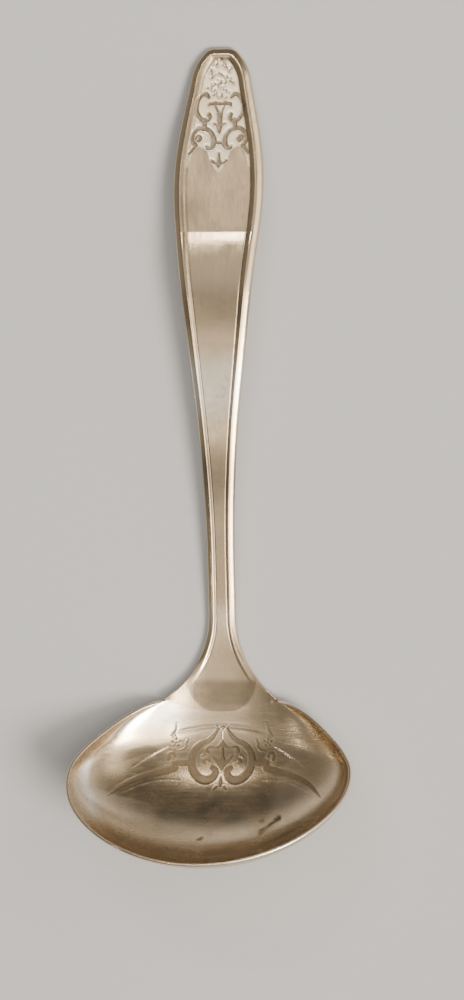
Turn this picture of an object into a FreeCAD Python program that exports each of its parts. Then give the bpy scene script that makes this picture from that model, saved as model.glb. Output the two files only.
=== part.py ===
import FreeCAD, Part
import math
import os

import Sketcher
from FreeCAD import Rotation, Vector

# A silver sauce ladle: an oval bowl on a long arched handle, soldered together at the neck.
#
# Frame, in millimetres: +Y runs along the handle to its tip, +X to the right, +Z up.
# The ladle lies as it does on a table: on the flat under its bowl and on the end of its handle.
# The origin is on the table, in the middle of the ladle's length and width.

os.makedirs("parts", exist_ok=True)

# Every driving dimension, as (name, value, what it is). A place is measured from the origin.
SIZES = [
    # the handle from above: corners of half its outline, and the radius that rounds each
    ("tip_end_y", 81.9, "end of the handle"),
    ("tip_corner_x", 2.75, "half width of the squared tip"),
    ("tip_corner_radius", 1.6, "rounding of the tip's corners"),
    ("shoulder_x", 5.45, "half width at the shoulders below the tip"),
    ("shoulder_y", 78.8, "place of the shoulders"),
    ("shoulder_radius", 6.0, "rounding of the shoulders"),
    ("widest_x", 9.9, "half width where the tip's side and the taper would meet"),
    ("widest_y", 56.4, "place where the tip's side and the taper would meet"),
    ("widest_radius", 63.0, "curve of the widest part"),
    ("stem_x", 2.78, "half width of the stem"),
    ("stem_y", -4.1, "place where the taper would meet the stem"),
    ("stem_radius", 300.0, "easing of the taper into the stem"),
    ("flare_y", -42.4, "place where the stem would meet the flare"),
    ("flare_radius", 16.0, "curve of the flare"),
    ("flare_end_x", 12.3, "half width where the flare meets the bowl's rim"),
    ("flare_end_y", -49.3, "place where the flare meets the bowl's rim"),
    ("tongue_end_y", -54.7, "end of the uncut tongue, inside the bowl"),
    # the handle from the side: corners of its upper and lower faces, along its middle
    ("tip_top_z", 1.45, "height of the tip's upper face"),
    ("lift_y", 44.8, "place of the crease, where the tip's slope steepens"),
    ("lift_top_z", 6.46, "height of the upper face at the crease"),
    ("lift_low_z", 4.7, "height of the lower face at the crease"),
    ("lift_radius", 8.0, "easing of the crease"),
    ("crest_y", 37.5, "place where the rising and falling faces would meet"),
    ("crest_top_z", 8.17, "height at which the upper faces would meet"),
    ("crest_low_z", 6.27, "height at which the lower faces would meet"),
    ("crest_radius", 38.0, "curve over the crest"),
    ("bend_y", 5.0, "place where the fall towards the neck steepens"),
    ("bend_top_z", 5.85, "height of the upper face at the bend"),
    ("bend_low_z", 4.15, "height of the lower face at the bend"),
    ("bend_radius", 250.0, "easing of the bend"),
    ("neck_y", -33.7, "place where the falling face would meet the heel"),
    ("neck_top_z", 1.7, "height of the heel's upper face"),
    ("neck_low_z", 0.25, "height of the heel's lower face"),
    ("neck_radius", 120.0, "easing into the heel"),
    ("dish_x", 13.0, "distance out at which the heel's raised edges are given"),
    ("dish_neck_y", -20.6, "place where the raised edges level off"),
    ("dish_top_z", 3.1, "height of the raised edges' upper face"),
    ("dish_low_z", 1.9, "height of the raised edges' lower face"),
    # the sunk panel between the raised borders
    ("panel_depth", 0.3, "depth of the panel below the borders"),
    ("panel_end_y", 79.9, "end of the panel at the tip"),
    ("panel_corner_x", 2.0, "half width of the panel at the tip"),
    ("panel_corner_radius", 0.9, "rounding of the panel's corners"),
    ("panel_shoulder_x", 3.6, "half width of the panel at its shoulders"),
    ("panel_shoulder_y", 77.9, "place of the panel's shoulders"),
    ("panel_shoulder_radius", 4.2, "rounding of the panel's shoulders"),
    ("panel_widest_x", 8.1, "half width where the panel's side and taper would meet"),
    ("panel_widest_y", 55.9, "place where the panel's side and taper would meet"),
    ("panel_stem_x", 1.1, "half width of the panel on the stem"),
    ("panel_stem_y", -3.6, "place where the panel's taper would meet its stem"),
    ("panel_flare_y", -43.7, "place where the panel's stem would meet its flare"),
    ("panel_flare_radius", 18.0, "curve of the panel's flare"),
    ("panel_flare_x", 11.0, "half width of the panel where it opens into the bowl"),
    ("panel_flare_end_y", -49.1, "place where the panel opens into the bowl"),
    ("edge_radius", 0.45, "rounding of the handle's edges"),
    # the bowl: rings between a flat on the table and a rim in a sloping plane
    ("rim_half_width", 29.0, "half the bowl's width"),
    ("rim_back_y", -47.5, "back of the rim, at the neck"),
    ("rim_back_z", 1.6, "height of the back of the rim"),
    ("rim_front_y", -81.45, "front of the rim"),
    ("rim_front_z", 29.3, "height of the front of the rim"),
    ("floor_y", -55.0, "middle of the flat under the bowl"),
    ("flat_turn", 8.0, "turn of the bowl's section at the edge of the flat, in degrees"),
    ("back_turn", 80.0, "turn of the bowl's section at the back of the rim, in degrees"),
    ("side_turn", 86.0, "turn of the bowl's section at the sides of the rim, in degrees"),
    ("front_turn", 101.0, "turn of the bowl's section at the front of the rim, in degrees"),
    ("wall", 1.2, "thickness of the bowl"),
    # the soldered seam, an arc across the neck
    ("seam_y", -24.5, "centre of the seam's arc"),
    ("seam_radius", 27.0, "radius of the seam's arc"),
    ("seam_gap", 0.12, "thickness of the solder"),
    ("seam_back_y", -46.8, "place just behind the bowl"),
    ("reach", 90.0, "size of the blocks that cut others, more than any piece needs"),
]

RINGS = 9  # rings through which each side of the bowl is drawn

doc = FreeCAD.newDocument("sauce_ladle")
sheet = doc.addObject("Spreadsheet::Sheet", "sizes")
for row, (name, value, note) in enumerate(SIZES, start=1):
    sheet.set(f"A{row}", note)
    sheet.set(f"B{row}", str(value))
    sheet.setAlias(f"B{row}", name)
doc.recompute()


def size(name):
    """The value of one driving dimension."""
    return float(getattr(sheet, name))


# Sketches of rounded outlines ---------------------------------------------------------------------


def tangent_points(before, corner, after, radius):
    """Where an arc of that radius leaves the two sides of a corner, and its centre."""
    towards_before = (before - corner).normalize()
    towards_after = (after - corner).normalize()
    half = towards_before.getAngle(towards_after) / 2
    along = radius / math.tan(half)
    middle = (towards_before + towards_after).normalize() * (radius / math.sin(half))
    return corner + towards_before * along, corner + towards_after * along, corner + middle


def arc_between(start, end, centre, radius):
    """The short arc between two points for a sketch, and whether it runs from the second."""
    backwards = (start - centre).cross(end - centre).z < 0
    first, last = (end, start) if backwards else (start, end)
    angles = [math.atan2(p.y - centre.y, p.x - centre.x) for p in (first, last)]
    return Part.ArcOfCircle(Part.Circle(centre, Vector(0, 0, 1), radius), *angles), backwards


def place_point(sketch, geometry, across, along):
    """Ties the first point of a sketch's geometry to two cells; None puts it on the axis."""
    for kind, cell, axis in (("DistanceX", across, -2), ("DistanceY", along, -1)):
        if cell is None:
            sketch.addConstraint(Sketcher.Constraint("PointOnObject", geometry, 1, axis))
        else:
            rule = Sketcher.Constraint(kind, -1, 1, geometry, 1, size(cell))
            sketch.setExpression(f"Constraints[{sketch.addConstraint(rule)}]", f"sizes.{cell}")


def draw_outline(sketch, corners):
    """Draws a closed outline of straight sides whose corners may be rounded by arcs.

    Each corner is (cell of its first coordinate, cell of its second, cell of its radius).
    None for a coordinate puts the corner on the axis; None for the radius leaves it sharp.
    """
    count = len(corners)
    places = [Vector(*[size(c) if c else 0.0 for c in corner[:2]]) for corner in corners]
    ends, arcs = [], {}
    for i, (_, _, radius) in enumerate(corners):
        if radius is None:
            ends.append((places[i], places[i]))
        else:
            start, end, centre = tangent_points(
                places[i - 1], places[i], places[(i + 1) % count], size(radius)
            )
            ends.append((start, end))
            arcs[i] = arc_between(start, end, centre, size(radius))
    for i in range(count):  # the side from corner i to the next is geometry i of the sketch
        sketch.addGeometry(Part.LineSegment(ends[i][1], ends[(i + 1) % count][0]))
    for i, (across, along, radius) in enumerate(corners):
        before, after = (i - 1) % count, i
        if radius is None:
            sketch.addConstraint(Sketcher.Constraint("Coincident", before, 2, after, 1))
            place_point(sketch, after, across, along)
            continue
        arc, backwards = arcs[i]
        curve = sketch.addGeometry(arc)
        corner = sketch.addGeometry(Part.Point(places[i]), True)
        first, last = (2, 1) if backwards else (1, 2)
        sketch.addConstraint(Sketcher.Constraint("Tangent", before, 2, curve, first))
        sketch.addConstraint(Sketcher.Constraint("Tangent", after, 1, curve, last))
        sketch.addConstraint(Sketcher.Constraint("PointOnObject", corner, 1, before))
        sketch.addConstraint(Sketcher.Constraint("PointOnObject", corner, 1, after))
        rounding = sketch.addConstraint(Sketcher.Constraint("Radius", curve, size(radius)))
        sketch.setExpression(f"Constraints[{rounding}]", f"sizes.{radius}")
        place_point(sketch, corner, across, along)


def outline_block(name, corners):
    """A block with that half outline seen from above, mirrored, through all heights."""
    body = doc.addObject("PartDesign::Body", name)
    planes = {feature.Role: feature for feature in body.Origin.OriginFeatures}
    sketch = body.newObject("Sketcher::SketchObject", name + "_sketch")
    sketch.AttachmentSupport = (planes["XY_Plane"], [""])
    sketch.MapMode = "FlatFace"
    draw_outline(sketch, corners)
    pad = body.newObject("PartDesign::Pad", name + "_pad")
    pad.Profile = sketch
    pad.Midplane = True
    pad.setExpression("Length", "sizes.reach")
    mirrored = body.newObject("PartDesign::Mirrored", name + "_mirrored")
    mirrored.Originals = [pad]
    mirrored.MirrorPlane = (planes["YZ_Plane"], [""])
    body.Tip = mirrored
    return body


def loft(name, sections):
    """A solid smoothly through sections."""
    result = doc.addObject("Part::Loft", name)
    result.Sections = sections
    result.Solid = True
    return result


def boolean(kind, name, base, tool):
    """A Part boolean of two objects."""
    result = doc.addObject(f"Part::{kind}", name)
    result.Base, result.Tool = base, tool
    return result


# The handle ---------------------------------------------------------------------------------------


def profile_section(name, side, neck_y, neck_top, neck_low):
    """The handle's profile from the side, drawn at -1, 0 or 1 times the dish's distance out."""
    sketch = doc.addObject("Sketcher::SketchObject", name)
    sketch.Placement.Rotation = Rotation(Vector(1, 1, 1), 120)
    sketch.setExpression("Placement.Base.x", f"{side} * sizes.dish_x")
    draw_outline(sketch, [
        ("tip_end_y", "tip_top_z", None),
        ("lift_y", "lift_top_z", "lift_radius"),
        ("crest_y", "crest_top_z", "crest_radius"),
        ("bend_y", "bend_top_z", "bend_radius"),
        (neck_y, neck_top, "neck_radius"),
        ("tongue_end_y", neck_top, None),
        ("tongue_end_y", neck_low, None),
        (neck_y, neck_low, "neck_radius"),
        ("bend_y", "bend_low_z", "bend_radius"),
        ("crest_y", "crest_low_z", "crest_radius"),
        ("lift_y", "lift_low_z", "lift_radius"),
        ("tip_end_y", None, None),
    ])
    return sketch


def profile_block(name):
    """A block with the handle's profile, whose heel is dished from side to side."""
    edge = ("dish_neck_y", "dish_top_z", "dish_low_z")
    return loft(name, [
        profile_section(name + "_left", -1, *edge),
        profile_section(name + "_middle", 0, "neck_y", "neck_top_z", "neck_low_z"),
        profile_section(name + "_right", 1, *edge),
    ])


def handle_form():
    """The handle with its uncut tongue: its outline from above met with its profile."""
    outline = outline_block("handle_outline", [
        (None, "tip_end_y", None),
        ("tip_corner_x", "tip_end_y", "tip_corner_radius"),
        ("shoulder_x", "shoulder_y", "shoulder_radius"),
        ("widest_x", "widest_y", "widest_radius"),
        ("stem_x", "stem_y", "stem_radius"),
        ("stem_x", "flare_y", "flare_radius"),
        ("flare_end_x", "flare_end_y", None),
        ("flare_end_x", "tongue_end_y", None),
        (None, "tongue_end_y", None),
    ])
    return boolean("Common", "handle_form", outline, profile_block("handle_profile"))


def panel_cutter():
    """What is taken out of the handle's upper face to leave its borders raised."""
    outline = outline_block("panel_outline", [
        (None, "panel_end_y", None),
        ("panel_corner_x", "panel_end_y", "panel_corner_radius"),
        ("panel_shoulder_x", "panel_shoulder_y", "panel_shoulder_radius"),
        ("panel_widest_x", "panel_widest_y", "widest_radius"),
        ("panel_stem_x", "panel_stem_y", "stem_radius"),
        ("panel_stem_x", "panel_flare_y", "panel_flare_radius"),
        ("panel_flare_x", "panel_flare_end_y", None),
        ("flare_end_x", "tongue_end_y", None),
        (None, "tongue_end_y", None),
    ])
    floor = profile_block("panel_floor")
    floor.setExpression("Placement.Base.z", "-sizes.panel_depth")
    return boolean("Cut", "panel_cutter", outline, floor)


def is_long_edge(edge):
    """Whether an edge runs along the outline of the handle's upper or lower face."""
    middle = edge.CenterOfMass
    on_outline = abs(middle.x) > size("panel_stem_x") or middle.y > size("panel_end_y")
    upright = isinstance(edge.Curve, Part.Line)
    return on_outline and not upright and middle.y > size("flare_end_y") + size("wall")


def rounded(name, form):
    """The handle's form with the long edges of its upper and lower faces rounded."""
    body = doc.addObject("PartDesign::Body", name)
    body.BaseFeature = form
    doc.recompute()
    base = body.Group[0]
    edges = [i for i, edge in enumerate(base.Shape.Edges, start=1) if is_long_edge(edge)]
    fillet = body.newObject("PartDesign::Fillet", name + "_edges")
    fillet.Base = (base, [f"Edge{i}" for i in edges])
    fillet.setExpression("Radius", "sizes.edge_radius")
    body.Tip = fillet
    return body


# The bowl -----------------------------------------------------------------------------------------


def ring(name, part, inset):
    """One ring of the bowl, an ellipse hung between the bowl's back and its front.

    part runs from 0 at the flat to 1 at the rim. The inset moves the ring in and up,
    as it does for the rings of the inner face.
    """
    def turned(end):
        return f"(sizes.flat_turn + {part} * (sizes.{end} - sizes.flat_turn))"

    def out(end):
        return f"sin({turned(end)}) / sin(sizes.{end})"

    def up(end):
        flat = "cos(sizes.flat_turn)"
        return f"({flat} - cos({turned(end)})) / ({flat} - cos(sizes.{end}))"

    back_y = f"(sizes.rim_back_y - sizes.floor_y - {inset}) * {out('back_turn')}"
    front_y = f"(sizes.rim_front_y - sizes.floor_y + {inset}) * {out('front_turn')}"
    back_z = f"sizes.rim_back_z * {up('back_turn')}"
    front_z = f"sizes.rim_front_z * {up('front_turn')}"
    run, rise = f"({back_y} - {front_y})", f"({front_z} - {back_z})"

    ellipse = doc.addObject("Part::Ellipse", name)
    ellipse.Placement.Rotation = Rotation(Vector(-1, 0, 0), 1)
    for prop, expression in (
        ("MajorRadius", f"(sizes.rim_half_width - {inset}) * {out('side_turn')}"),
        ("MinorRadius", f"sqrt({run}^2 + {rise}^2) / 2"),
        ("Placement.Base.y", f"sizes.floor_y + ({back_y} + {front_y}) / 2"),
        ("Placement.Base.z", f"({back_z} + {front_z}) / 2 + {inset}"),
        ("Placement.Rotation.Angle", f"atan({rise} / {run})"),
    ):
        ellipse.setExpression(prop, expression)
    return ellipse


def bowl_side(name, inset):
    """The solid inside one face of the bowl, drawn through its rings."""
    return loft(name, [ring(f"{name}_ring_{i}", i / (RINGS - 1), inset) for i in range(RINGS)])


# The seam -----------------------------------------------------------------------------------------


def handle_side(name, gap):
    """A block over all that belongs to the handle: a round end on the tongue, and the rest."""
    round_end = doc.addObject("Part::Cylinder", name + "_round_end")
    back = doc.addObject("Part::Box", name + "_back")
    for prop, expression in (
        ("Radius", f"sizes.seam_radius + {gap}"),
        ("Height", "sizes.reach"),
        ("Placement.Base.y", "sizes.seam_y"),
        ("Placement.Base.z", "-sizes.reach / 2"),
    ):
        round_end.setExpression(prop, expression)
    for prop, expression in (
        ("Length", "sizes.reach"),
        ("Width", "2 * sizes.reach"),
        ("Height", "sizes.reach"),
        ("Placement.Base.x", "-sizes.reach / 2"),
        ("Placement.Base.y", "sizes.seam_back_y"),
        ("Placement.Base.z", "-sizes.reach / 2"),
    ):
        back.setExpression(prop, expression)
    return boolean("Fuse", name, round_end, back)


# The three pieces ---------------------------------------------------------------------------------

rounded_handle = rounded("rounded_handle", handle_form())
panelled = boolean("Cut", "panelled_handle", rounded_handle, panel_cutter())
shell = boolean("Cut", "bowl_shell", bowl_side("bowl_outside", "0"),
                bowl_side("bowl_inside", "sizes.wall"))
near = handle_side("near_side", "0")
far = handle_side("far_side", "sizes.seam_gap")
solder_zone = boolean("Cut", "solder_zone", far, near)

pieces = [
    boolean("Cut", "bowl", shell, far),
    boolean("Common", "handle", panelled, near),
    boolean("Common", "solder_seam", panelled, solder_zone),
]
for piece in pieces:
    piece.Label = piece.Name

doc.recompute()
for obj in doc.Objects:
    if "Invalid" in obj.State or "Error" in obj.State:
        raise RuntimeError(f"{obj.Name} did not build: {obj.State}")
for piece in pieces:
    if not piece.Shape.isValid() or len(piece.Shape.Solids) != 1:
        raise RuntimeError(f"{piece.Name} is not one sound solid: {len(piece.Shape.Solids)}")
for piece in pieces:
    piece.Shape.exportStep(f"parts/{piece.Name}.step")
    box = piece.Shape.BoundBox
    print(f"{piece.Name}: {box.XMin:.2f}..{box.XMax:.2f}  {box.YMin:.2f}..{box.YMax:.2f}  "
          f"{box.ZMin:.2f}..{box.ZMax:.2f} mm")
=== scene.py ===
import math

import bmesh
import bpy
import numpy as np
from mathutils import Matrix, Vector
from mathutils.kdtree import KDTree


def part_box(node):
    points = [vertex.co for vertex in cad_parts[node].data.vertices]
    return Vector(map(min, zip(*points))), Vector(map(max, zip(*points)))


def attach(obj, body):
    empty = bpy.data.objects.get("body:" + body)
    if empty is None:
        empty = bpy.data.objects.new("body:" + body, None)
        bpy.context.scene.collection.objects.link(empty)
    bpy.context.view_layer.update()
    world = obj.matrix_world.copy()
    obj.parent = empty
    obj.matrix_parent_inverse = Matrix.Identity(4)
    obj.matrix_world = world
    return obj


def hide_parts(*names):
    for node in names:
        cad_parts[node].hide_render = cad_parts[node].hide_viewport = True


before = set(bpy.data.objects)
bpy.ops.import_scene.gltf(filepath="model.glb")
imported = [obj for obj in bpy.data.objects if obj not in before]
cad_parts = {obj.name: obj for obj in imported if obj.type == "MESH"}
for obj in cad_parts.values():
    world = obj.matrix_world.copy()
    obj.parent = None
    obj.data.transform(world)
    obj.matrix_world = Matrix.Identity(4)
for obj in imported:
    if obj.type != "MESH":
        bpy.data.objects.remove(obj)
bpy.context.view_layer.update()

# A silver sauce ladle. Shapes are worked out in millimetres, in the frame's axes: +Y along the
# handle to its tip, +X right, +Z up. Meshes are made in metres.
MM = 0.001


def highest_corner(node):
    """The corner of a CAD node's box with the largest x, y and z, in millimetres."""
    return np.array(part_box(node)[1]) / MM


handle_high = highest_corner("handle")
bowl_high = highest_corner("bowl")

# Curves and blends --------------------------------------------------------------------------------


def smooth(low, high, value):
    """0 below low, 1 above high, and an S curve between."""
    part = np.clip((value - low) / (high - low), 0.0, 1.0)
    return part * part * (3 - 2 * part)


def rounded_line(corners):
    """A function of y along straight lines between corners (y, value, radius of its rounding)."""
    corners = sorted(corners)
    ys = np.array([c[0] for c in corners], float)
    values = np.array([c[1] for c in corners], float)
    arcs = []
    for i in range(1, len(corners) - 1):
        radius = corners[i][2]
        before = math.atan2(values[i] - values[i - 1], ys[i] - ys[i - 1])
        after = math.atan2(values[i + 1] - values[i], ys[i + 1] - ys[i])
        turn = after - before
        if not radius or abs(turn) < 1e-6:
            continue
        reach = radius * math.tan(abs(turn) / 2)
        side = math.copysign(1.0, turn)
        start = (ys[i] - reach * math.cos(before), values[i] - reach * math.sin(before))
        end_y = ys[i] + reach * math.cos(after)
        centre = (start[0] - side * radius * math.sin(before),
                  start[1] + side * radius * math.cos(before))
        arcs.append((start[0], end_y, centre, radius, side))

    def value_at(y):
        y = np.asarray(y, float)
        result = np.interp(y, ys, values)
        for start_y, end_y, centre, radius, side in arcs:
            on_arc = (y > start_y) & (y < end_y)
            drop = np.sqrt(np.maximum(radius**2 - (y - centre[0]) ** 2, 0.0))
            result = np.where(on_arc, centre[1] - side * drop, result)
        return result

    return value_at


def curve_through(points, steps=14):
    """Points along a smooth curve through given points."""
    p = np.array(points, float)
    if len(p) == 2:
        return p[0] + np.linspace(0, 1, steps)[:, None] * (p[1] - p[0])
    p = np.vstack([2 * p[0] - p[1], p, 2 * p[-1] - p[-2]])
    u = np.linspace(0, 1, steps, endpoint=False)[:, None]
    runs = []
    for a, b, c, d in zip(p, p[1:], p[2:], p[3:]):
        runs.append(0.5 * (2 * b + (c - a) * u + (2 * a - 5 * b + 4 * c - d) * u**2
                           + (3 * b - a - 3 * c + d) * u**3))
    return np.vstack(runs + [p[-2:-1]])


# The bowl's rim and inner face --------------------------------------------------------------------

WALL = 1.2  # thickness of the bowl's floor
LIP = 0.6  # thickness of the bowl's rim
FLOOR_Y = -55.0  # lowest place of the bowl
RIM_BACK_Z = 1.6
RIM_BACK_Y = -47.5
RIM_FRONT_Y = -81.45
RIM_FRONT_Z = bowl_high[2]
RIM_HALF_WIDTH = bowl_high[0]
RIM_MIDDLE_Y = (RIM_BACK_Y + RIM_FRONT_Y) / 2
RIM_HALF_LENGTH = (RIM_BACK_Y - RIM_FRONT_Y) / 2
RIM_SLOPE = (RIM_FRONT_Z - RIM_BACK_Z) / (RIM_BACK_Y - RIM_FRONT_Y)
SEAM_Y, SEAM_RADIUS, SEAM_GAP = -24.5, 27.0, 0.12  # the seam's arc across the neck


def rim_point(turn, inset):
    """A point of the rim seen from above; turn 0 is to the right, a quarter turn is the back."""
    x = (RIM_HALF_WIDTH - inset) * np.cos(turn)
    backward = np.arcsin(np.sin(turn))
    # squares the oval a little at the front, most just behind its sides, and not at the back
    flatness = 0.022 + 0.038 * smooth(0.0, 0.35, backward) - 0.06 * smooth(0.55, 1.15, backward)
    along = (np.sin(turn) - flatness * np.sin(3 * turn)) / (1 + flatness)
    return x, RIM_MIDDLE_Y + (RIM_HALF_LENGTH - inset) * along


def rim_height(y):
    """The rim lies in a plane that rises towards the front."""
    return RIM_BACK_Z + RIM_SLOPE * (RIM_BACK_Y - y)


class InnerFace:
    """The bowl's inner face, drawn from its lowest place to the inner edge of the rim."""

    def __init__(self):
        turns = np.linspace(-math.pi / 2, 1.5 * math.pi, 4001)
        x, y = rim_point(turns, LIP)
        self.bearing = np.unwrap(np.arctan2(y - FLOOR_Y, x))
        self.run = np.hypot(x, y - FLOOR_Y)
        self.rise = rim_height(y) - WALL + 0.12
        back = np.sin(turns)
        # how far the section has turned at the rim: past upright at the front
        self.end = np.radians(np.where(back > 0, 86 - 8 * back, 86 - 15 * back))

    def at(self, bearing):
        """Reach, rise and final turn of the section in that direction."""
        b = np.mod(bearing - self.bearing[0], 2 * math.pi) + self.bearing[0]
        return [np.interp(b, self.bearing, v) for v in (self.run, self.rise, self.end)]

    def place(self, bearing, part):
        """The point a part of the way along the section in that direction."""
        run, rise, end = self.at(bearing)
        turn = part * end
        out = run * np.sin(turn) / np.sin(end)
        z = WALL + rise * (1 - np.cos(turn)) / (1 - np.cos(end))
        return out * np.cos(bearing), FLOOR_Y + out * np.sin(bearing), z

    def height(self, x, y):
        """Height above a place in the back half of the bowl."""
        bearing = np.arctan2(y - FLOOR_Y, x)
        run, rise, end = self.at(bearing)
        reach = np.clip(np.hypot(x, y - FLOOR_Y) / run * np.sin(end), 0, np.sin(end))
        return WALL + rise * (1 - np.sqrt(1 - np.minimum(reach, 1) ** 2)) / (1 - np.cos(end))


inner_face = InnerFace()

# The handle ---------------------------------------------------------------------------------------

TIP_Y = handle_high[1]
SINK = 0.3  # depth of the panel below the borders
TOP_EDGE, LOW_EDGE = 0.3, 0.42  # rounding of the handle's edges
HANDLE_CARVED, BOWL_CARVED = 0.10, 0.038  # depth of the engraving
LINES_RAISED = 0.06  # height of the thin lines in the bowl

# the shoulder, where the seam's arc meets the rim
shoulder_turns = np.linspace(0.6, 1.5, 4001)
rim_x, rim_y = rim_point(shoulder_turns, 0.0)
nearest = np.argmin(np.abs(np.hypot(rim_x, rim_y - SEAM_Y) - SEAM_RADIUS))
SHOULDER_X, SHOULDER_Y = rim_x[nearest], rim_y[nearest]
SEAM_HALF_TURN = math.asin(SHOULDER_X / SEAM_RADIUS)

half_width = rounded_line([
    (TIP_Y + 0.001, 1.5, 0),
    (TIP_Y - 0.2, 2.75, 2.8),
    (78.8, 5.45, 10.0),
    (56.4, 9.9, 63.0),
    (-4.1, 2.78, 300.0),
    (-42.4, 2.78, 20.0),
    (SHOULDER_Y, SHOULDER_X, 0),
])

upper_face = rounded_line([
    (TIP_Y + 0.001, 1.45, 0),
    (44.8, 6.46, 1.2),
    (37.5, 8.17, 42.0),
    (5.0, 5.85, 250.0),
    (-33.7, 1.7, 120.0),
    (-70.0, 1.7, 0),
])

thickness = rounded_line([
    (TIP_Y + 0.001, 1.4, 0),
    (36.5, 1.9, 60.0),
    (0.0, 1.7, 60.0),
    (-33.7, 1.45, 60.0),
    (-56.0, 1.25, 0),
])


def neck_and_bowl(x, y):
    """Height of the panel's level on the handle, flowing into the bowl's inner face."""
    # the neck is dished from side to side, and a low crease crosses it where the bowl starts
    dish = 0.0101 * x**2 * smooth(-25.0, -42.0, y)
    neck = upper_face(y) - SINK + dish - 0.2 * smooth(-50.0, -55.0, y)
    in_bowl = smooth(-51.5, -57.5, y)
    beside = smooth(9.0, 17.0, np.abs(x))
    share = 1 - (1 - in_bowl) * (1 - beside)
    share = np.where(y > -46.0, 0.0, share)
    crease = 0.07 * np.exp(-(((y + 54.5 + 0.0144 * x**2) / 0.42) ** 2)) * smooth(10.5, 7.0, np.abs(x))
    return neck * (1 - share) + inner_face.height(x, y) * share + crease


# Ornament -----------------------------------------------------------------------------------------


class Stroke:
    """A sunk line of the ornament: a smooth curve whose half width runs through the given values."""

    def __init__(self, points, *half_widths):
        self.path = curve_through(points)
        places = np.linspace(0, 1, len(self.path))
        self.reach = np.interp(places, np.linspace(0, 1, len(half_widths)), half_widths)

    def edge(self, x, y, found):
        """Lowers found to the signed distance from the stroke's edge, below zero inside."""
        low, high = self.path.min(axis=0) - 1.2, self.path.max(axis=0) + 1.2
        near = np.flatnonzero((x > low[0]) & (x < high[0]) & (y > low[1]) & (y < high[1]))
        if len(near):
            ax, ay = x[near, None] - self.path[:, 0], y[near, None] - self.path[:, 1]
            found[near] = np.minimum(found[near], (np.hypot(ax, ay) - self.reach).min(axis=1))


def pattern_edge(strokes, x, y):
    """Signed distance from the nearest stroke's edge."""
    found = np.full(x.shape, 9.0)
    for stroke in strokes:
        stroke.edge(x, y, found)
    return found


def floret(x, y, size, petals=5, lean=0.3):
    """A small flower of round petals about a gap, with a dot in its middle."""
    dots = [Stroke([(x, y), (x + 0.01, y)], 0.22 * size)]
    for k in range(petals):
        angle = lean + 2 * math.pi * k / petals
        out = np.array([math.cos(angle), math.sin(angle)])
        start, end = out * 0.55 * size, out * 0.95 * size
        dots.append(Stroke([(x + start[0], y + start[1]), (x + end[0], y + end[1])],
                           0.1 * size, 0.24 * size, 0.12 * size))
    return dots


def handle_strokes():
    """The scrollwork at the handle's tip: a basket of flowers between scrolls, and a pendant."""
    upper_scroll = [(2.3, 71.95), (2.75, 72.5), (3.55, 72.5), (4.45, 71.5), (4.85, 69.9),
                    (4.5, 68.5), (3.6, 67.4), (2.5, 67.3), (2.0, 67.9), (2.25, 68.45)]
    lower_scroll = [(3.3, 65.75), (2.2, 65.3), (1.35, 64.2), (1.1, 62.9), (1.5, 61.9), (2.35, 61.65)]
    outer_scroll = [(3.2, 65.75), (4.4, 65.6), (5.3, 64.7), (5.55, 63.5), (5.2, 62.6)]
    inner_curl = [(4.85, 63.35), (4.75, 64.05), (4.2, 64.1), (3.9, 63.65), (4.2, 63.3)]
    return [
        Stroke(upper_scroll, 0.26, 0.42, 0.34, 0.38, 0.44, 0.42, 0.36, 0.32, 0.44),
        Stroke([(3.1, 67.3), (3.15, 65.7)], 0.5, 0.44, 0.52),
        Stroke(lower_scroll, 0.38, 0.38, 0.46, 0.58, 0.46, 0.32),
        Stroke([(2.35, 61.65), (2.6, 62.1)], 0.3, 0.16),
        Stroke(outer_scroll, 0.38, 0.4, 0.38, 0.4),
        Stroke([(5.2, 62.7), (4.6, 62.1)], 0.36, 0.44, 0.22),
        Stroke([(4.8, 62.3), (5.5, 61.4), (6.1, 60.7)], 0.38, 0.34, 0.28),
        Stroke(inner_curl, 0.16, 0.22, 0.36, 0.42),
        Stroke([(0, 62.75), (1.0, 62.75)], 0.26),
        Stroke([(0, 70.65), (1.0, 70.75), (2.1, 70.6)], 0.3, 0.22, 0.4, 0.26, 0.34),
        Stroke([(2.0, 70.7), (2.35, 70.2)], 0.24, 0.12),
        Stroke([(0.95, 70.2), (0.4, 69.0), (0.2, 67.2)], 0.12, 0.2, 0.34),
        Stroke([(0, 69.2), (0, 68.2), (0, 66.9)], 0.06, 0.3, 0.36),
        Stroke([(0, 66.3), (0, 64.6)], 0.66, 0.42, 0.14),
        Stroke([(0.6, 66.4), (1.2, 66.65)], 0.22, 0.14),
        Stroke([(0, 60.7), (0, 59.0), (0, 57.8)], 0.16, 0.34, 0.5, 0.14),
        Stroke([(0.2, 58.6), (0.8, 58.7), (1.5, 59.1)], 0.34, 0.24, 0.24),
    ]


def bouquet():
    """The flowers over the urn: soft strokes and raised dots strewn over a tapering field."""
    strewn = np.random.default_rng(8)
    strokes, dots = [Stroke([(-0.35, 79.9), (0, 79.6), (0.35, 79.9)], 0.14, 0.22, 0.14)], []
    levels, half_widths = [71.5, 73.0, 74.5, 78.0, 80.5], [0.8, 2.6, 3.3, 2.4, 0.5]
    count = 60
    for step in range(count):
        y = 71.9 + 7.6 * step / count + strewn.uniform(-0.2, 0.2)
        x = strewn.uniform(-1, 1) * np.interp(y, levels, half_widths)
        if step % 2:
            dots.append((x, y, strewn.uniform(0.22, 0.36)))
            continue
        angle, length = strewn.uniform(0, math.pi), strewn.uniform(0.05, 0.3)
        out = length * np.array([math.cos(angle), math.sin(angle)])
        bend = 0.4 * np.array([-out[1], out[0]])
        strokes.append(Stroke([(x, y) - out, (x, y) + bend, (x, y) + out],
                              0.1, strewn.uniform(0.14, 0.28), 0.1))
    return strokes, dots


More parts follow.
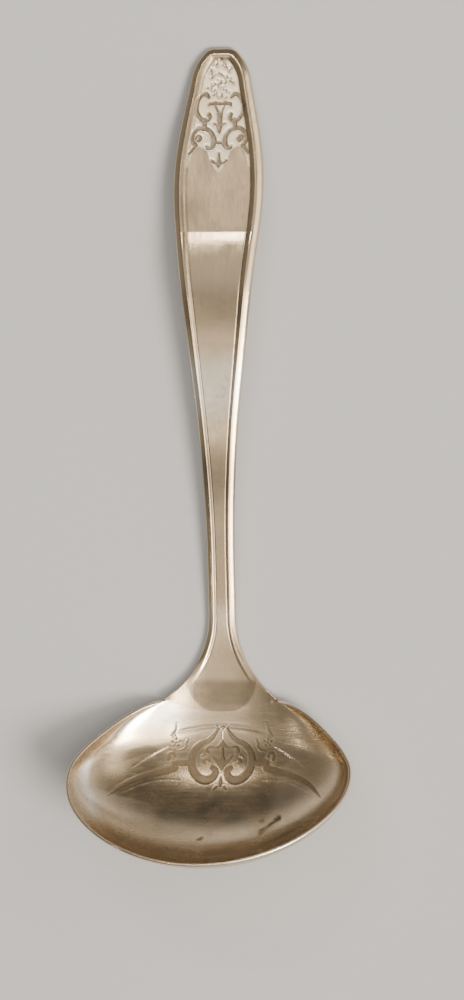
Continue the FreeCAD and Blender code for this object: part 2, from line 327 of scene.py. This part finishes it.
def raised_dots(dots, x, y):
    """Height of small round beads over the face they sit on."""
    height = np.zeros(x.shape)
    for dot_x, dot_y, radius in dots:
        height += 0.24 * radius * np.exp(-((x - dot_x) ** 2 + (y - dot_y) ** 2) / radius**2)
    return height


def bowl_strokes():
    """The scrollwork inside the bowl: a scrolled cartouche between tapered bars and sprays."""
    cartouche = [(1.05, -55.2), (1.7, -56.2), (2.9, -57.4), (4.4, -58.1), (5.7, -59.4), (6.15, -61.2),
                 (5.8, -63.2), (4.5, -64.8), (2.9, -65.3), (1.6, -64.7), (1.15, -63.6), (1.9, -62.9)]
    bar = [(9.2, -62.9), (11.0, -63.4), (13.4, -63.9), (16.4, -64.8), (19.2, -66.2), (21.6, -68.2)]
    return [
        Stroke(cartouche, 0.24, 0.5, 0.64, 0.72, 0.76, 0.76, 0.66, 0.46),
        Stroke([(0, -57.3), (0, -60.0)], 0.16, 0.36),
        Stroke([(0, -57.6), (0.6, -58.5), (1.6, -58.9)], 0.3, 0.36, 0.2),
        Stroke([(1.3, -58.9), (2.7, -58.7), (3.3, -59.4), (2.8, -59.8)], 0.2, 0.34, 0.28, 0.26),
        Stroke([(0, -60.3), (0, -61.9), (0, -63.2)], 0.3, 0.85, 0.24),
        Stroke([(0.5, -62.2), (1.3, -61.4), (2.0, -60.5)], 0.4, 0.36, 0.16),
        Stroke([(2.4, -61.7), (3.1, -61.2), (3.8, -61.5), (3.4, -62.0)], 0.16, 0.3, 0.26),
        Stroke([(3.7, -60.3), (4.3, -60.6)], 0.26, 0.2),
        Stroke([(0, -64.7), (0, -66.5)], 0.16, 0.36, 0.12),
        Stroke([(0.8, -66.5), (1.4, -67.1)], 0.24, 0.12),
        Stroke([(0, -54.5), (0.7, -54.8), (1.2, -54.4)], 0.16, 0.1, 0.18),
        Stroke([(6.7, -61.9), (9.3, -61.9)], 0.62, 0.6),
        Stroke(bar, 0.62, 0.7, 0.66, 0.56, 0.46, 0.14),
        Stroke([(7.2, -58.4), (7.9, -59.2), (9.0, -59.4)], 0.14, 0.26, 0.12),
        Stroke([(7.0, -57.0), (7.5, -58.3)], 0.12, 0.24, 0.12),
        Stroke([(9.4, -60.7), (9.9, -59.9), (10.7, -60.1), (10.6, -61.1)], 0.18, 0.3, 0.34),
        Stroke([(10.4, -56.3), (9.6, -55.2), (9.3, -53.6)], 0.16, 0.26, 0.08),
    ] + floret(9.4, -57.7, 1.0) + floret(10.0, -56.2, 0.6, lean=1.0)


def bowl_lines():
    """The thin bright lines above and below the bars, and at the cartouche's peak."""
    return [
        Stroke([(8.4, -65.3), (11.5, -65.3), (15.5, -66.1), (19.4, -67.8)], 0.05, 0.15, 0.06),
        Stroke([(10.9, -58.6), (14.0, -60.3), (17.8, -62.8)], 0.05, 0.14, 0.06),
        Stroke([(0, -55.6), (0.5, -54.9), (1.2, -54.2)], 0.05, 0.1),
        Stroke([(0, -57.0), (0, -55.6)], 0.08, 0.05),
    ]


def tarnish_marks():
    """Dark marks low on the bowl's front wall, and a speck in the ornament."""
    return [
        Stroke([(9.8, -75.4), (11.4, -74.0), (13.1, -72.6)], 0.5, 0.26, 0.24, 0.55),
        Stroke([(9.2, -73.4), (9.9, -73.2)], 0.1, 0.2),
        Stroke([(-3.0, -76.9), (-2.2, -76.7)], 0.12, 0.22),
        Stroke([(-1.8, -61.8), (-1.8, -61.8)], 0.1),
    ]


def engraved(edge, depth):
    """How far the surface moves at that distance from a stroke's edge: sunk, with a raised lip."""
    return -depth * smooth(0.07, -0.12, edge) + 0.3 * depth * np.exp(-(((edge - 0.16) / 0.1) ** 2))


# Meshes -------------------------------------------------------------------------------------------


def new_piece(name, points, faces, material, node, attributes):
    """A smooth mesh piece in the place of a CAD node, with named values at its points."""
    mesh = bpy.data.meshes.new(name)
    mesh.from_pydata((np.asarray(points) * MM).tolist(), [], faces)
    mesh.validate()
    shell = bmesh.new()
    shell.from_mesh(mesh)
    bmesh.ops.recalc_face_normals(shell, faces=shell.faces)
    shell.to_mesh(mesh)
    shell.free()
    mesh.shade_smooth()
    mesh.set_sharp_from_angle(angle=math.radians(55))
    for key, values in attributes.items():
        layer = mesh.attributes.new(key, "FLOAT", "POINT")
        layer.data.foreach_set("value", np.asarray(values, np.float32))
    mesh.materials.append(material)
    piece = bpy.data.objects.new(name, mesh)
    bpy.context.scene.collection.objects.link(piece)
    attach(piece, "root")
    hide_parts(node)
    return piece


def tube_faces(rows, columns):
    """Quads of a tube whose rows are closed rings of points."""
    faces = []
    for r in range(rows - 1):
        start, above = r * columns, (r + 1) * columns
        for c in range(columns):
            n = (c + 1) % columns
            faces.append((start + c, start + n, above + n, above + c))
    return faces


def zip_faces(first, second):
    """Triangles between two chains of points of different counts, matched by their shares."""
    faces, i, j = [], 0, 0
    while i < len(first) - 1 or j < len(second) - 1:
        next_i, next_j = (i + 1) / (len(first) - 1), (j + 1) / (len(second) - 1)
        if j == len(second) - 1 or (i < len(first) - 1 and next_i <= next_j):
            faces.append((first[i], first[i + 1], second[j]))
            i += 1
        else:
            faces.append((first[i], second[j + 1], second[j]))
            j += 1
    return faces


def outline_distance(x, y):
    """Distance in from the handle's outline, for places inside it."""
    along = np.concatenate([np.arange(SHOULDER_Y - 3, 76.0, 0.05), np.linspace(76.0, TIP_Y, 700)])
    side = np.stack([half_width(along), along], axis=1)
    end = np.stack([np.linspace(side[-1, 0], 0, 60)[1:], np.full(59, TIP_Y)], axis=1)
    outline = np.vstack([side, end])
    tree = KDTree(len(outline))
    for i, (px, py) in enumerate(outline):
        tree.insert((px, py, 0), i)
    tree.balance()
    places = np.stack([np.abs(x), y], axis=1)
    nearest = np.array([tree.find((px, py, 0))[1] for px, py in places])
    best = np.full(len(places), 99.0)
    for step in (-1, 0):
        a = outline[np.clip(nearest + step, 0, len(outline) - 2)]
        b = outline[np.clip(nearest + step, 0, len(outline) - 2) + 1]
        run = b - a
        share = np.clip(((places - a) * run).sum(axis=1) / (run * run).sum(axis=1), 0, 1)
        best = np.minimum(best, np.linalg.norm(a + share[:, None] * run - places, axis=1))
    return best


def edge_drop(distance, radius):
    """How far a rounded edge has dropped at a distance in from its side."""
    into = np.clip(radius - distance, 0, radius)
    return radius - np.sqrt(radius**2 - into**2)


# the raised border: how far in its crest lies, and the width of its inner slope
border_crest = rounded_line([(TIP_Y, 1.2, 0), (66.0, 1.45, 30), (0.0, 1.15, 60), (-50.0, 1.1, 0)])
border_fall = rounded_line([(TIP_Y, 0.86, 0), (48.0, 0.86, 60), (12.0, 0.42, 60), (-50.0, 0.36, 0)])


def border(distance, y):
    """Height of the raised border above the panel, at a distance in from the outline."""
    crest, fall = border_crest(y), border_fall(y)
    into, bend = distance - crest, 0.35 * fall
    outer = math.tan(math.radians(26)) * (np.hypot(into, 0.3) - 0.3)
    inner = (SINK + 0.03) / fall * (np.hypot(into, bend) - bend)
    ridge = SINK + 0.03 - np.where(into < 0, outer, inner)
    past = 0.5 * (ridge + np.hypot(ridge, 0.03))
    groove = 0.05 * np.exp(-(((into - 1.34 * fall) / 0.17) ** 2))
    return np.where(into < 0, ridge, past - groove) * smooth(-46.5, -38.0, y)


def handle_rows():
    """How the rows of the handle's mesh lie: (end of the row, middle of the row) along y."""
    tip = TIP_Y - 0.9 * np.linspace(0, 1, 12) ** 2
    fine = np.linspace(tip[-1], 56.0, 175)[1:]
    upper = np.linspace(56.0, 47.0, 16)[1:]
    crease = np.linspace(47.0, 42.0, 28)[1:]
    stem = np.linspace(42.0, -34.0, 92)[1:]
    straight = np.concatenate([tip, fine, upper, crease, stem])
    share = np.linspace(0, 1, 44)[1:]
    ends = -34.0 + share * (SHOULDER_Y + 34.0)
    middles = -34.0 + share * (SEAM_Y - SEAM_RADIUS + 34.0)
    return np.concatenate([straight, ends]), np.concatenate([straight, middles])


def make_handle(material):
    ends, middles = handle_rows()
    u = np.linspace(-1, 1, 133)
    across_top = 0.6 * u + 0.4 * np.sin(u * math.pi / 2)
    across = np.concatenate([across_top, np.linspace(1, -1, 37)])
    turn = across * SEAM_HALF_TURN
    x = half_width(ends)[:, None] * np.sin(turn) / math.sin(SEAM_HALF_TURN)
    # rows of the stem run straight across, and those of the flare bend towards the seam's arc
    straight = half_width(ends)[:, None] * across
    bent = (ends != middles)[:, None]
    x = np.where(bent, x, straight)
    bow = (1 - np.cos(turn)) / (1 - math.cos(SEAM_HALF_TURN))
    y = middles[:, None] + (ends - middles)[:, None] * bow
    rows, columns = x.shape
    x, y = x.ravel(), y.ravel()
    distance = outline_distance(x, y)
    panel = neck_and_bowl(x, y)
    flowers, dots = bouquet()
    scrolls, petals = pattern_edge(handle_strokes(), np.abs(x), y), pattern_edge(flowers, x, y)
    edge = np.minimum(scrolls, petals)
    top = panel + border(distance, y) - edge_drop(distance, TOP_EDGE)
    carved = engraved(edge, HANDLE_CARVED) + raised_dots(dots, x, y)
    top = top + carved * smooth(1.9, 2.3, distance)
    low = panel + SINK - thickness(y) + edge_drop(distance, LOW_EDGE)
    is_top = np.tile(np.arange(columns) < len(across_top), rows)
    z = np.where(is_top, top, np.minimum(low, top - 0.05))
    faces = tube_faces(rows, columns)
    faces.append(tuple(range(columns))[::-1])
    last = (rows - 1) * columns
    top_end = list(range(last, last + len(across_top)))
    low_end = [last] + list(range(last + columns - 1, last + len(across_top) - 1, -1))
    faces += zip_faces(top_end, low_end + [top_end[-1]])
    ground = ground_share(x, y) * smooth(2.2, 2.6, distance) * is_top
    dark = np.maximum(smooth(0.16, -0.06, scrolls), 0.5 * smooth(0.1, -0.1, petals))
    return new_piece("silver_handle", np.stack([x, y, z], axis=1), faces, material,
                     "handle",
                     {"engraving": dark * is_top,
                      "ground": ground,
                      "recess": recess_share(distance, y) * is_top,
                      # painted highlights and painted shade
                      "painted_light": handle_painted_light(x, y) * is_top})


def blot(x, y, middle, size):
    """A soft spot: 1 at its middle, fading over its half width and half length."""
    return np.exp(-(((x - middle[0]) / size[0]) ** 2) - ((y - middle[1]) / size[1]) ** 2)


def handle_painted_light(x, y):
    """Where the handle is painted with highlights, above zero, or with shade, below zero."""
    highlights = blot(x, y, (0, 13.5), (30, 7.5)) + 0.4 * blot(x, y, (0, -32), (30, 5))
    shaded = blot(x, y, (0, 29), (30, 6)) + 1.2 * blot(x, y, (0, -4), (30, 8))
    shaded = shaded + 0.25 * smooth(46.0, 48.0, y) + 0.4 * blot(x, y, (0, -20), (30, 9))
    # painted shade on the tongue of the neck
    tongue = smooth(-44.0, -46.5, y) * smooth(0.3, -0.3, np.hypot(x, y + 44.8) - 7.2)
    return highlights - 0.75 * shaded - tongue


def bowl_painted_light(x, y):
    """The same inside the bowl: painted highlights beside the neck and at the left tip, painted shade
    elsewhere.
    """
    highlights = blot(x, y, (-14, -51), (8, 4.5)) + blot(x, y, (-29, -65), (4.5, 9))
    left = -25.5 + 12.5 * smooth(-66.0, -71.0, y)
    middle = smooth(left - 2, left + 2, x) * smooth(15.0, 9.0, x)
    middle = 0.78 * middle * smooth(-56.0, -59.5, y) * smooth(-77.0, -71.0, y)
    middle = middle + 0.3 * blot(x, y, (0, -61.5), (10, 3.2))
    front = 0.9 * blot(x, y, (1, -71), (12.5, 4.5))
    return highlights - np.maximum(middle, front) - 0.5 * blot(x, y, (20, -62), (6, 5))


def ground_share(x, y):
    """Where the frosted ground behind the ornament lies, above the plain part of the panel."""
    outs = [0, 0.7, 1.6, 2.5, 4.0, 5.0, 5.7, 6.2]
    edge = np.interp(np.abs(x), outs, [56.9, 57.4, 59.0, 61.3, 62.1, 61.5, 60.0, 57.9])
    return smooth(-0.15, 0.15, y - edge)


def recess_share(distance, y):
    """Where dirt settles along the foot of the raised border."""
    fall = border_fall(y)
    foot = border_crest(y) + 1.17 * fall
    return np.exp(-(((distance - foot) / (0.35 * fall)) ** 2)) * smooth(-46.5, -40.0, y)


def seam_arc(gap):
    """Bearing from the bowl's lowest place, and reach, along the seam's arc from right to left."""
    turn = np.linspace(SEAM_HALF_TURN, -SEAM_HALF_TURN, 121)
    x = (SEAM_RADIUS + gap) * np.sin(turn)
    y = SEAM_Y - (SEAM_RADIUS + gap) * np.cos(turn)
    return np.arctan2(y - FLOOR_Y, x), np.hypot(x, y - FLOOR_Y)


def rim_bearings(first):
    """Bearings of the rim's columns, from the left shoulder round the front to the right one."""
    right = first - 0.006
    turns = np.linspace(1.45, -1.45 - math.pi, 3000)
    rim_x, rim_y = rim_point(turns, LIP)
    bearings = np.unwrap(np.arctan2(rim_y - FLOOR_Y, rim_x))
    bearings = bearings[(bearings < right) & (bearings > -math.pi - right)]
    picks = np.linspace(0, len(bearings) - 1, 372).astype(int)
    return bearings[picks][::-1] + 2 * math.pi


def face_directions(grid, middle):
    """Normals of the bowl's inner face, pointing into the bowl, and directions outward along it."""
    padded = np.concatenate([np.broadcast_to(middle, (1,) + grid.shape[1:]), grid])
    along = np.gradient(padded, axis=0)[1:]
    around = np.roll(grid, -1, axis=1) - np.roll(grid, 1, axis=1)
    normal = np.cross(along, around)
    normal /= np.linalg.norm(normal, axis=2, keepdims=True)
    return normal, along / np.linalg.norm(along, axis=2, keepdims=True)


def lip_rings(edge, normal, along, wall, share):
    """Rings of points round the lip, from the inner face's edge to the outer face."""
    rings = []
    for angle in np.linspace(0, math.pi, 9)[1:-1]:
        half = wall / 2
        over = 0.8 * math.sin(angle) * share[:, None]
        rings.append(edge - normal * half * (1 - math.cos(angle)) + along * half * over)
    return np.array(rings)


def make_bowl(material):
    neck_bearing, neck_reach = seam_arc(SEAM_GAP)
    bearing = np.concatenate([neck_bearing, rim_bearings(neck_bearing[0])])
    columns = len(bearing)
    in_neck = np.arange(columns) < len(neck_bearing)

    # the inner face: rings lie closer together under the ornament
    run, _, end = inner_face.at(bearing)
    stop = np.ones(columns)
    share = np.minimum(neck_reach / run[in_neck], 1) * np.sin(end[in_neck])
    stop[in_neck] = np.arcsin(share) / end[in_neck]
    steps = np.concatenate([np.linspace(0, 0.34, 80)[1:], np.linspace(0.34, 1, 46)[1:]])
    x, y, z = inner_face.place(bearing[None, :], steps[:, None] * stop)
    flow = neck_and_bowl(x, y) - inner_face.height(x, y)
    z = z + np.where(y > -60.0, flow, 0.0)
    inner = np.stack([x, y, z], axis=2)
    middle = np.array([0.0, FLOOR_Y, WALL])
    normal, along = face_directions(inner, middle)
    edge = pattern_edge(bowl_strokes(), np.abs(x.ravel()), y.ravel()).reshape(x.shape)
    lines = pattern_edge(bowl_lines(), np.abs(x.ravel()), y.ravel()).reshape(x.shape)
    stain = pattern_edge(tarnish_marks(), x.ravel(), y.ravel())
    relief = engraved(edge, BOWL_CARVED) + LINES_RAISED * smooth(0.1, -0.05, lines)
    carved = inner + normal * relief[:, :, None]

    # the rim thins, and its lip rounds out, away from the shoulders
    away = np.hypot(np.abs(x[-1]) - SHOULDER_X, y[-1] - SHOULDER_Y)
    lip_share = np.where(in_neck, 0.0, smooth(0.3, 4.0, away))
    wall = WALL + (LIP - WALL) * steps[:, None, None] ** 2 * lip_share[:, None]
    outer = inner - normal * wall
    lip = lip_rings(inner[-1], normal[-1], along[-1], wall[-1], lip_share)
    grid = np.concatenate([carved, lip, outer[::-1][::3]])
    faces = [f[::-1] for f in tube_faces(len(grid), columns)]
    points = np.vstack([grid.reshape(-1, 3), middle, middle - [0, 0, WALL]])
    top, bottom = len(points) - 2, len(points) - 1
    last = (len(grid) - 1) * columns
    for c in range(columns):
        n = (c + 1) % columns
        faces.append((top, c, n))
        faces.append((bottom, last + n, last + c))

    engraving, stained, painted_light = np.zeros((3, len(points)))
    engraving[:edge.size] = 0.9 * smooth(0.16, -0.08, edge).ravel()
    stained[:edge.size] = 2.0 * smooth(0.25, -0.15, stain)
    # painted highlights along the edges of the strokes and on the thin raised lines
    outline_highlights = 0.3 * np.exp(-(((edge - 0.28) / 0.16) ** 2)) + smooth(0.14, -0.02, lines)
    # painted highlights on the left rim and on the lip, strongest at the front right
    rim_highlight = smooth(0.66, 0.84, steps)[:, None] * smooth(-10.0, -20.0, x) * smooth(-76.0, -70.0, y)
    painted_light[:edge.size] = (bowl_painted_light(x, y) + rim_highlight + 0.8 * outline_highlights).ravel()
    lip_painted_light = 0.2 + 0.8 * blot(x[-1], y[-1], (14, -75), (9, 7))
    painted_light[edge.size:edge.size + len(lip) * columns] = np.tile(lip_painted_light, len(lip))
    return new_piece("silver_bowl", points, faces, material, "bowl",
                     {"engraving": engraving, "recess": stained, "painted_light": painted_light})


def make_seam(material):
    """The line of solder between the handle's tongue and the bowl."""
    turn = np.linspace(SEAM_HALF_TURN, -SEAM_HALF_TURN, 121)
    rings = []
    for gap, top in ((0.0, True), (SEAM_GAP, True), (SEAM_GAP, False), (0.0, False)):
        x = (SEAM_RADIUS + gap) * np.sin(turn)
        y = SEAM_Y - (SEAM_RADIUS + gap) * np.cos(turn)
        face = neck_and_bowl(x, y)
        z = face - 0.004 if top else face - WALL + 0.05  # a hair inside both faces of the metal
        rings.append(np.stack([x, y, z], axis=1))
    grid = np.stack(rings, axis=1)
    rows, columns = grid.shape[:2]
    faces = tube_faces(rows, columns)
    last = (rows - 1) * columns
    faces += [tuple(range(columns))[::-1], tuple(range(last, last + columns))]
    return new_piece("silver_seam", grid.reshape(-1, 3), faces, material,
                     "solder_seam", {})


# Materials ----------------------------------------------------------------------------------------


class Nodes:
    """Short ways to add and join the nodes of a material."""

    def __init__(self, tree):
        self.tree = tree
        tree.nodes.clear()

    def add(self, kind, inputs=(), **settings):
        node = self.tree.nodes.new(kind)
        for key, value in settings.items():
            setattr(node, key, value)
        for name, value in dict(inputs).items():
            self.feed(node.inputs[name], value)
        return node

    def feed(self, socket, value):
        """Joins an output to a socket, or sets the socket's value."""
        if isinstance(value, bpy.types.NodeSocket):
            self.tree.links.new(value, socket)
        else:
            socket.default_value = value

    def math(self, operation, *values, clamp=False):
        node = self.add("ShaderNodeMath", operation=operation, use_clamp=clamp)
        for socket, value in zip(node.inputs, values):
            self.feed(socket, value)
        return node.outputs[0]

    def span(self, value, low, high, to_low=0.0, to_high=1.0):
        """Value moved smoothly from one span to another."""
        node = self.add("ShaderNodeMapRange", {
            "Value": value, "From Min": low, "From Max": high, "To Min": to_low, "To Max": to_high,
        }, interpolation_type="SMOOTHSTEP")
        return node.outputs["Result"]

    def mix(self, share, first, second):
        node = self.add("ShaderNodeMix", data_type="RGBA")
        for socket, value in zip((node.inputs[0], node.inputs[6], node.inputs[7]),
                                 (share, first, second)):
            self.feed(socket, value)
        return node.outputs[2]

    def noise(self, where, scale, detail=3.0, roughness=0.5, distortion=0.0):
        node = self.add("ShaderNodeTexNoise", {
            "Vector": where, "Scale": scale, "Detail": detail, "Roughness": roughness,
            "Distortion": distortion,
        })
        return node.outputs["Fac"]

    def stretched(self, where, scale, turn=(0, 0, 0)):
        """Coordinates scaled apart along the axes, after a turn."""
        node = self.add("ShaderNodeMapping", {
            "Vector": where, "Scale": scale, "Rotation": turn,
        })
        return node.outputs["Vector"]

    def value_at(self, name):
        return self.add("ShaderNodeAttribute", attribute_name=name).outputs["Fac"]


# the first tone is a painted highlight; the others are the metal's own frosting, spots and dirt
HIGHLIGHT_TONE = (0.97, 0.93, 0.86, 1)
FROSTED_TONE = (0.94, 0.83, 0.66, 1)
SPOT_TONE = (0.42, 0.35, 0.27, 1)
DIRT_TONE = (0.13, 0.095, 0.06, 1)


def silver(name, colour, base_roughness, brushed):
    """Worn silver plate: smudges, fine scratches, and brown tarnish left in what is sunk.

    The brush marks are as fine along each axis as the numbers in brushed are large.
    """
    material = bpy.data.materials.new(name)
    material.use_nodes = True
    n = Nodes(material.node_tree)
    where = n.add("ShaderNodeTexCoord").outputs["Object"]

    clouds = n.noise(where, 90.0, 5.0, 0.6, 0.6)
    patches = n.noise(where, 230.0, 6.0, 0.65, 1.2)
    grains = n.noise(where, 2600.0, 3.0, 0.7)
    along = n.noise(n.stretched(where, brushed), 1.0, 4.0, 0.7)
    across = n.noise(n.stretched(where, (260.0, 4200.0, 260.0), (0, 0, 0.7)), 1.0, 2.0, 0.6, 0.4)
    hair = n.noise(n.stretched(where, (5200.0, 170.0, 900.0), (0, 0, -0.35)), 1.0, 1.0, 0.5, 0.3)
    scratches = n.math("ADD", n.span(across, 0.68, 0.78), n.span(hair, 0.70, 0.80), clamp=True)

    film = n.span(clouds, 0.42, 0.66, 0.0, 0.35)
    spots = n.span(patches, 0.6, 0.78, 0.0, 0.35)
    engraving = n.value_at("engraving")
    recess = n.value_at("recess")
    dirt = n.math("MAXIMUM", n.math("MULTIPLY", engraving, n.span(grains, 0.25, 0.75, 0.6, 0.95)),
                  n.math("MULTIPLY", recess, n.span(patches, 0.3, 0.65, 0.25, 0.7)))
    ground = n.value_at("ground")
    painted_light = n.value_at("painted_light")
    shade_tone = (*[0.45 * c for c in colour], 1)
    film_tone = (*[share * c for share, c in zip((0.80, 0.74, 0.62), colour)], 1)
    # painted highlights lighten the tone and painted shade darkens it, by the value set at each point
    tone = n.mix(n.span(painted_light, 0.0, 1.0), (*colour, 1), HIGHLIGHT_TONE)
    tone = n.mix(n.span(painted_light, -1.0, 0.0, 1.0, 0.0), tone, shade_tone)
    tone = n.mix(ground, tone, FROSTED_TONE)
    tone = n.mix(film, tone, film_tone)
    tone = n.mix(spots, tone, SPOT_TONE)
    tone = n.mix(dirt, tone, DIRT_TONE)

    rough = n.math("ADD", n.span(clouds, 0.3, 0.7, base_roughness - 0.05, base_roughness + 0.08),
                   n.span(along, 0.3, 0.7, -0.03, 0.04))
    rough = n.math("ADD", rough, n.math("MULTIPLY", ground, 0.10))
    rough = n.math("ADD", rough, n.math("MULTIPLY", dirt, 0.25), clamp=True)

    relief = n.math("ADD", n.math("MULTIPLY", along, 0.35), n.math("MULTIPLY", grains, 0.22))
    relief = n.math("SUBTRACT", relief, n.math("MULTIPLY", scratches, 0.08))
    relief = n.math("ADD", relief, n.math("MULTIPLY", n.noise(where, 420.0, 2.0), 0.9))
    bump = n.add("ShaderNodeBump", {"Strength": 0.25, "Distance": 0.00006, "Height": relief})
    shader = n.add("ShaderNodeBsdfPrincipled", {
        "Base Color": tone, "Metallic": 1.0, "Roughness": rough, "Normal": bump.outputs["Normal"],
    })
    n.add("ShaderNodeOutputMaterial", {"Surface": shader.outputs["BSDF"]})
    return material


def floor_material():
    """Plain pale paper."""
    material = bpy.data.materials.new("pale_floor")
    material.use_nodes = True
    n = Nodes(material.node_tree)
    where = n.add("ShaderNodeTexCoord").outputs["Object"]
    fine = n.noise(where, 900.0, 4.0, 0.6)
    tone = n.mix(fine, (0.43, 0.45, 0.49, 1), (0.46, 0.48, 0.52, 1))
    shader = n.add("ShaderNodeBsdfPrincipled", {"Base Color": tone, "Roughness": 0.9})
    n.add("ShaderNodeOutputMaterial", {"Surface": shader.outputs["BSDF"]})
    return material


# Stage, lights and camera -------------------------------------------------------------------------

CAMERA_LEAN = 11.7  # degrees from straight above, towards +X
MIRROR_LEAN = CAMERA_LEAN  # a level face shows the camera what is that far over to -X
WARM = (1.0, 0.89, 0.74)


def make_floor():
    mesh = bpy.data.meshes.new("floor")
    size = 6.0
    mesh.from_pydata([(-size, -size, 0), (size, -size, 0), (size, size, 0), (-size, size, 0)], [],
                     [(0, 1, 2, 3)])
    mesh.materials.append(floor_material())
    floor = bpy.data.objects.new("floor", mesh)
    floor.location.z = -0.00005
    bpy.context.scene.collection.objects.link(floor)


def pose(right, up, back, place):
    """A matrix from three axes and a place."""
    columns = [np.append(v, 0) for v in (right, up, back)] + [np.append(place, 1)]
    return Matrix([[*row] for row in np.column_stack(columns)])


def light_pose(lean_x, lean_y, distance, aim=(0, 0, 0)):
    """Where a light stands and faces; its leans are angles from overhead towards +X and +Y."""
    out = np.array([math.tan(math.radians(lean_x)), math.tan(math.radians(lean_y)), 1.0])
    out /= np.linalg.norm(out)
    side = np.array([1.0, 0.0, 0.0]) - out * out[0]
    side /= np.linalg.norm(side)
    return pose(side, np.cross(out, side), out, np.array(aim) + out * distance)


def place_light(light, matrix):
    """Adds a light that the camera itself doesn't see."""
    lamp = bpy.data.objects.new(light.name, light)
    lamp.matrix_world = matrix
    lamp.visible_camera = False
    bpy.context.scene.collection.objects.link(lamp)


def soft_panel(name, lean_x, lean_y, distance, width, height, brightness, aim=(0, 0, 0)):
    """A soft panel of light that faces the object, its width along X and its height along Y."""
    light = bpy.data.lights.new(name, "AREA")
    light.shape = "RECTANGLE"
    light.size, light.size_y = width, height
    light.energy = brightness * math.pi * width * height
    light.color = WARM
    place_light(light, light_pose(lean_x, lean_y, distance, aim))


def far_lamp(name, lean_x, lean_y, spread, strength):
    """A round soft lamp too far off to darken with distance, spread degrees across."""
    light = bpy.data.lights.new(name, "SUN")
    light.angle = math.radians(spread)
    light.energy = strength
    light.color = WARM
    place_light(light, light_pose(lean_x, lean_y, 2.0))


def make_lights():
    """A main lamp, and panels placed where the flat and curved faces mirror them to the camera."""
    far_lamp("key", 40, -28, 22, 4.4)
    soft_panel("window", 20, -15, 0.8, 0.36, 0.26, 6.0)
    soft_panel("neck_glow", 8, -5, 0.8, 0.14, 0.12, 9.0)
    soft_panel("side_strip", 40, 5, 0.8, 0.24, 0.9, 2.7)
    soft_panel("far_strip", -MIRROR_LEAN, 29.5, 0.8, 0.35, 0.04, 26.0, aim=(0, 0.044, 0.008))
    soft_panel("near_patch", -MIRROR_LEAN, -9, 0.8, 0.30, 0.07, 1.3)
    soft_panel("small_lamp", -50, -4, 0.2, 0.009, 0.009, 24.0, aim=(0.018, -0.057, 0.005))


def make_world():
    """A dim room, brighter overhead, to the right and along the horizon."""
    world = bpy.data.worlds.new("studio")
    world.use_nodes = True
    n = Nodes(world.node_tree)
    where = n.add("ShaderNodeTexCoord").outputs["Generated"]
    parts = n.add("ShaderNodeSeparateXYZ", {"Vector": where}).outputs
    overhead = n.span(parts[2], 0.80, 0.96, 0.0, 0.55)
    left = n.span(parts[0], -0.95, -0.6, 0.15, 0.0)
    right = n.math("ADD", n.span(parts[0], 0.3, 0.9, 0.0, 0.6), n.span(parts[0], 0.85, 0.98, 0.0, 1.3))
    horizon = n.span(n.math("ABSOLUTE", parts[2]), 0.04, 0.2, 0.35, 0.0)
    level = n.math("ADD", n.math("ADD", overhead, n.math("ADD", left, right)),
                   n.math("ADD", horizon, 0.2))
    tone = n.mix(n.span(parts[2], 0.0, 0.5), (1.0, 0.97, 0.93, 1), (1.0, 0.92, 0.80, 1))
    shader = n.add("ShaderNodeBackground", {"Color": tone, "Strength": level})
    n.add("ShaderNodeOutputWorld", {"Surface": shader.outputs[0]})
    bpy.context.scene.world = world


def make_camera():
    """Looks down, leaning to the right, with the handle up the picture."""
    lean, roll = math.radians(CAMERA_LEAN), math.radians(0.1)
    distance, view_height, sensor = 1.5, 0.2013, 0.036  # metres
    aim = np.array([0.0018, -0.0090, 0.0])
    back = np.array([math.sin(lean), 0.0, math.cos(lean)])
    up = np.array([math.sin(roll), math.cos(roll), 0.0])
    up -= back * up.dot(back)
    up /= np.linalg.norm(up)
    data = bpy.data.cameras.new("camera")
    data.sensor_fit = "VERTICAL"
    data.sensor_height = sensor * 1000
    data.lens = sensor * 1000 * distance / view_height
    camera = bpy.data.objects.new("camera", data)
    camera.matrix_world = pose(np.cross(up, back), up, back, aim + back * distance)
    bpy.context.scene.collection.objects.link(camera)
    bpy.context.scene.camera = camera


plate_tone = (0.66, 0.535, 0.38)
handle_silver = silver("worn_silver_handle", plate_tone, 0.18, (2600.0, 90.0, 2600.0))
bowl_silver = silver("worn_silver_bowl", plate_tone, 0.22, (160.0, 2100.0, 900.0))
solder = silver("silver_solder", (0.62, 0.50, 0.36), 0.22, (900.0, 900.0, 900.0))
make_handle(handle_silver)
make_bowl(bowl_silver)
make_seam(solder)
make_floor()
make_lights()
make_world()
make_camera()
